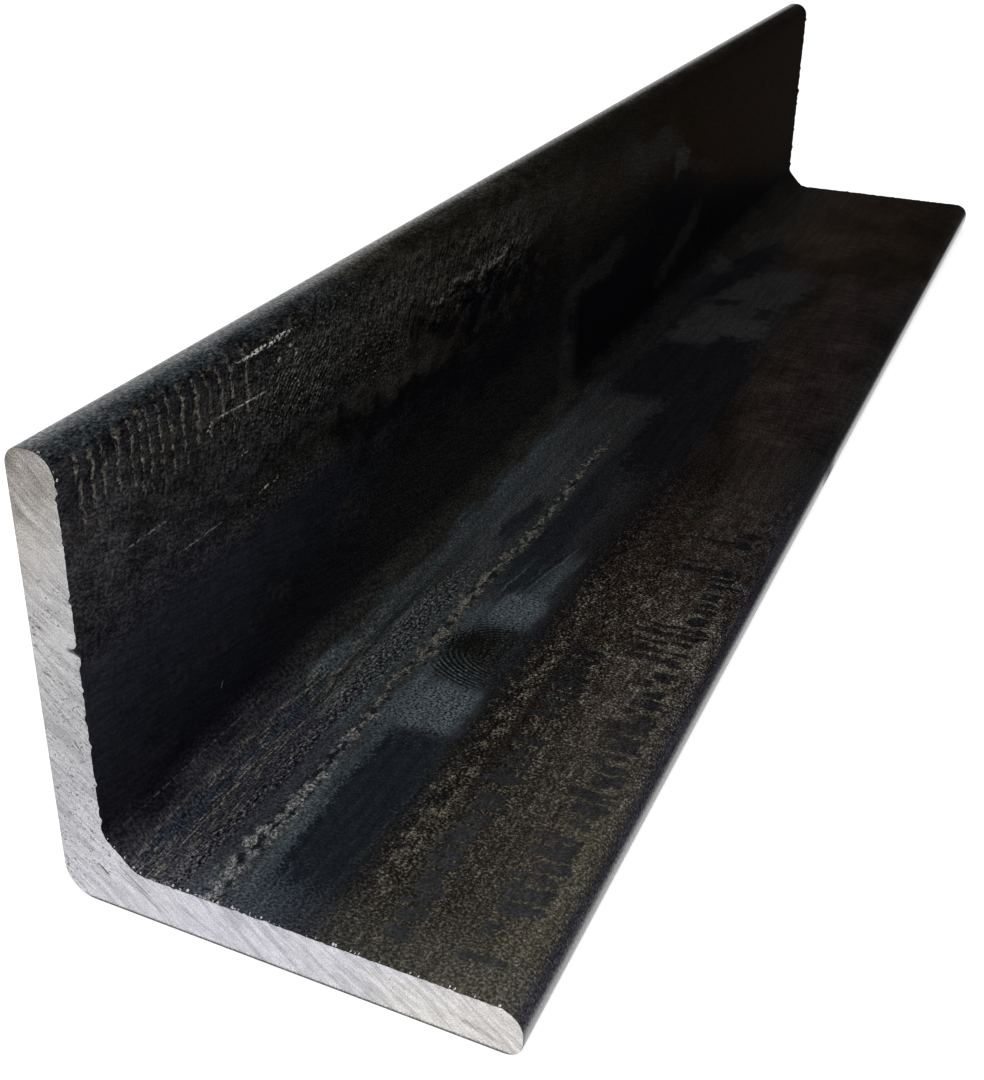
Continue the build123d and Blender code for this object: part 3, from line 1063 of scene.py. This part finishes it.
def saw_burrs(bm):
    """Crumbs of bright steel that the saw left clinging to the arris round the inside."""
    dice = random.Random(14)
    spots = [(x, z, 1.6) for x, z in TOE_BURRS]
    for middle, count in BURRS:
        for _ in range(count):
            x = middle + dice.uniform(-0.6, 0.6)
            spots.append((x, THICKNESS + max(0.0, THICKNESS + ROOT_SLOPE - x), 1.0))
    crumbs = []
    for x, top, share in spots:
        size = dice.choice((0.07, 0.09, 0.11, 0.16)) * share
        inwards = 1.6 * size + dice.uniform(0.0, 0.08)
        lift = dice.uniform(0.0, 0.6) * size
        place = bar_point(x, inwards, top + lift)
        turn = Matrix.Rotation(dice.uniform(0, math.pi), 4, "X")
        turn @= Matrix.Rotation(dice.uniform(0, math.pi), 4, "Z")
        shape = Matrix.Diagonal((size * MM, size * MM * 0.75, size * MM * 1.25, 1))
        crumb = bmesh.ops.create_icosphere(
            bm, subdivisions=1, radius=1.0, matrix=Matrix.Translation(place) @ turn @ shape
        )["verts"]
        for vert in crumb:
            vert.co += (vert.co - place) * dice.uniform(-0.3, 0.25)
        crumbs += {face for vert in crumb for face in vert.link_faces}
    return crumbs


# Places in the bar's list of materials, after two of the flat leg and three of the standing leg
OUTSIDE = 5
SAWN = 6


def rolled_bar(materials):
    """The bar: its section drawn out to length, with the arrises as the saw leaves them."""
    bm = bmesh.new()
    section_face(bm)
    far = bmesh.ops.extrude_face_region(bm, geom=bm.faces[:])["geom"]
    far_verts = [g for g in far if isinstance(g, bmesh.types.BMVert)]
    bmesh.ops.translate(bm, verts=far_verts, vec=(0, LENGTH * MM, 0))

    first = END_CUTS[-1]
    steps = int((LENGTH - 2 * first) / BAR_STEP)
    middle = [first + i * BAR_STEP for i in range(1, 1 + steps)]
    for y in END_CUTS + middle + [LENGTH - cut for cut in END_CUTS] + list(SPLITS):
        bmesh.ops.bisect_plane(
            bm, geom=bm.verts[:] + bm.edges[:] + bm.faces[:],
            plane_co=bar_point(0, y, 0), plane_no=(0, 1, 0),
        )
    bmesh.ops.recalc_face_normals(bm, faces=bm.faces[:])

    arris = [e for e in bm.edges if e.is_manifold and e.calc_face_angle() > ARRIS_BEND]
    bmesh.ops.bevel(
        bm, geom=arris, offset=ARRIS_ROUND * MM, offset_type="OFFSET", affect="EDGES",
        segments=2, profile=0.5, material=-1,
    )
    sawn = [f for f in bm.faces if abs(f.normal.y) > 0.95 and len(f.verts) > 8]
    bmesh.ops.inset_region(bm, faces=sawn, thickness=ARRIS_ROUND * MM, use_even_offset=True)
    tear_arris(bm)

    # The inner scale reaches round each toe until the surface turns to the outside
    for face in bm.faces:
        face.smooth = True
        spot = (face.calc_center_median() - HEEL) / MM
        if abs(face.normal.y) > 0.5:
            face.material_index = SAWN
        elif spot.x >= spot.z and face.normal.z > -0.5 and spot.z > 0.1:
            face.material_index = 1 if spot.y > SPLITS[1] else 0
        elif spot.z > spot.x and face.normal.x > -0.65 and spot.x > 0.1:
            face.material_index = 2 + sum(spot.y > split for split in SPLITS)
        else:
            face.material_index = OUTSIDE
    for face in saw_burrs(bm):
        face.material_index = SAWN

    mesh = bpy.data.meshes.new("rolled_angle")
    bm.to_mesh(mesh)
    bm.free()
    for material in materials:
        mesh.materials.append(material)
    piece = bpy.data.objects.new("rolled_angle", mesh)
    bpy.context.scene.collection.objects.link(piece)
    return piece


bar = rolled_bar(
    [
        flat_leg_scale("near", (0.0, SPLITS[1])),
        flat_leg_scale("far", (SPLITS[1], LENGTH)),
        standing_leg_scale("near", (0.0, SPLITS[0])),
        standing_leg_scale("middle", SPLITS),
        standing_leg_scale("far", (SPLITS[1], LENGTH)),
        outer_scale(),
        sawn_steel(),
    ]
)
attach(bar, "root")
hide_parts(NODE)


# ---------------------------------------------------------------- floor, light and camera


def seen_directly(tree):
    """1 for rays that look straight at the background, also by way of metal or glass."""
    rays = ("Is Camera Ray", "Is Glossy Ray", "Is Transmission Ray")
    return most(*(add("LightPath", out=ray, tree=tree) for ray in rays))


def studio_floor():
    """A white floor that keeps the bar's shadow and clips to white away from it."""
    bm = bmesh.new()
    bmesh.ops.create_grid(bm, x_segments=1, y_segments=1, size=4.0)
    bmesh.ops.translate(bm, verts=bm.verts, vec=(0, 0, lowest.z - 0.1 * MM))
    mesh = bpy.data.meshes.new("studio_floor")
    bm.to_mesh(mesh)
    bm.free()
    floor = bpy.data.objects.new("studio_floor", mesh)
    bpy.context.scene.collection.objects.link(floor)
    material = bpy.data.materials.new("matt white paper")
    material.use_nodes = True
    tree = material.node_tree
    shader = tree.nodes["Principled BSDF"]
    shader.inputs["Base Color"].default_value = (0.8, 0.8, 0.8, 1)
    shader.inputs["Roughness"].default_value = 0.9
    lift = times(seen_directly(tree), 0.6)
    shader.inputs["Emission Color"].default_value = (1, 1, 1, 1)
    tree.links.new(lift, shader.inputs["Emission Strength"])
    mesh.materials.append(material)


def white_world():
    """White all round: full where it is looked at, and half as strong where it lights."""
    world = bpy.data.worlds.new("white studio")
    bpy.context.scene.world = world
    world.use_nodes = True
    tree = world.node_tree
    background = tree.nodes["Background"]
    background.inputs["Color"].default_value = (1, 1, 1, 1)
    strength = add("MapRange", {"Value": seen_directly(tree), "To Min": 0.5, "To Max": 1.0})
    tree.links.new(strength, background.inputs["Strength"])


def softbox(name, place, target, size, power):
    """A square lamp at a place, turned to its target."""
    lamp = bpy.data.lights.new(name, "AREA")
    lamp.shape = "SQUARE"
    lamp.size = size
    lamp.energy = power
    holder = bpy.data.objects.new(name, lamp)
    bpy.context.scene.collection.objects.link(holder)
    holder.location = place
    aim = Vector(target) - Vector(place)
    holder.rotation_euler = aim.to_track_quat("-Z", "Y").to_euler()


def camera():
    """A lens of normal length, close above the near end, looking down the bar."""
    image_width, image_height = 984, 1080
    principal_x, principal_y = 468, 465
    focal_pixels = 1428.7
    yaw, pitch, roll = (math.radians(a) for a in (24.761, 26.269, 0.461))
    data = bpy.data.cameras.new("camera")
    data.sensor_width = 36.0
    data.lens = focal_pixels / image_height * data.sensor_width
    data.shift_x = (image_width / 2 - principal_x) / image_height
    data.shift_y = -(image_height / 2 - principal_y) / image_height
    data.clip_start, data.clip_end = 0.01, 20.0
    view = bpy.data.objects.new("camera", data)
    bpy.context.scene.collection.objects.link(view)
    turn = (
        Matrix.Rotation(yaw, 4, "Z")
        @ Matrix.Rotation(math.pi / 2 - pitch, 4, "X")
        @ Matrix.Rotation(roll, 4, "Z")
    )
    view.matrix_world = Matrix.Translation(bar_point(82.853, -83.763, 102.966)) @ turn
    bpy.context.scene.camera = view


studio_floor()
white_world()
softbox("key softbox", bar_point(130, -170, 300), bar_point(25, 40, 10), 0.25, 0.9)
camera()

bpy.context.scene.view_settings.view_transform = "Standard"
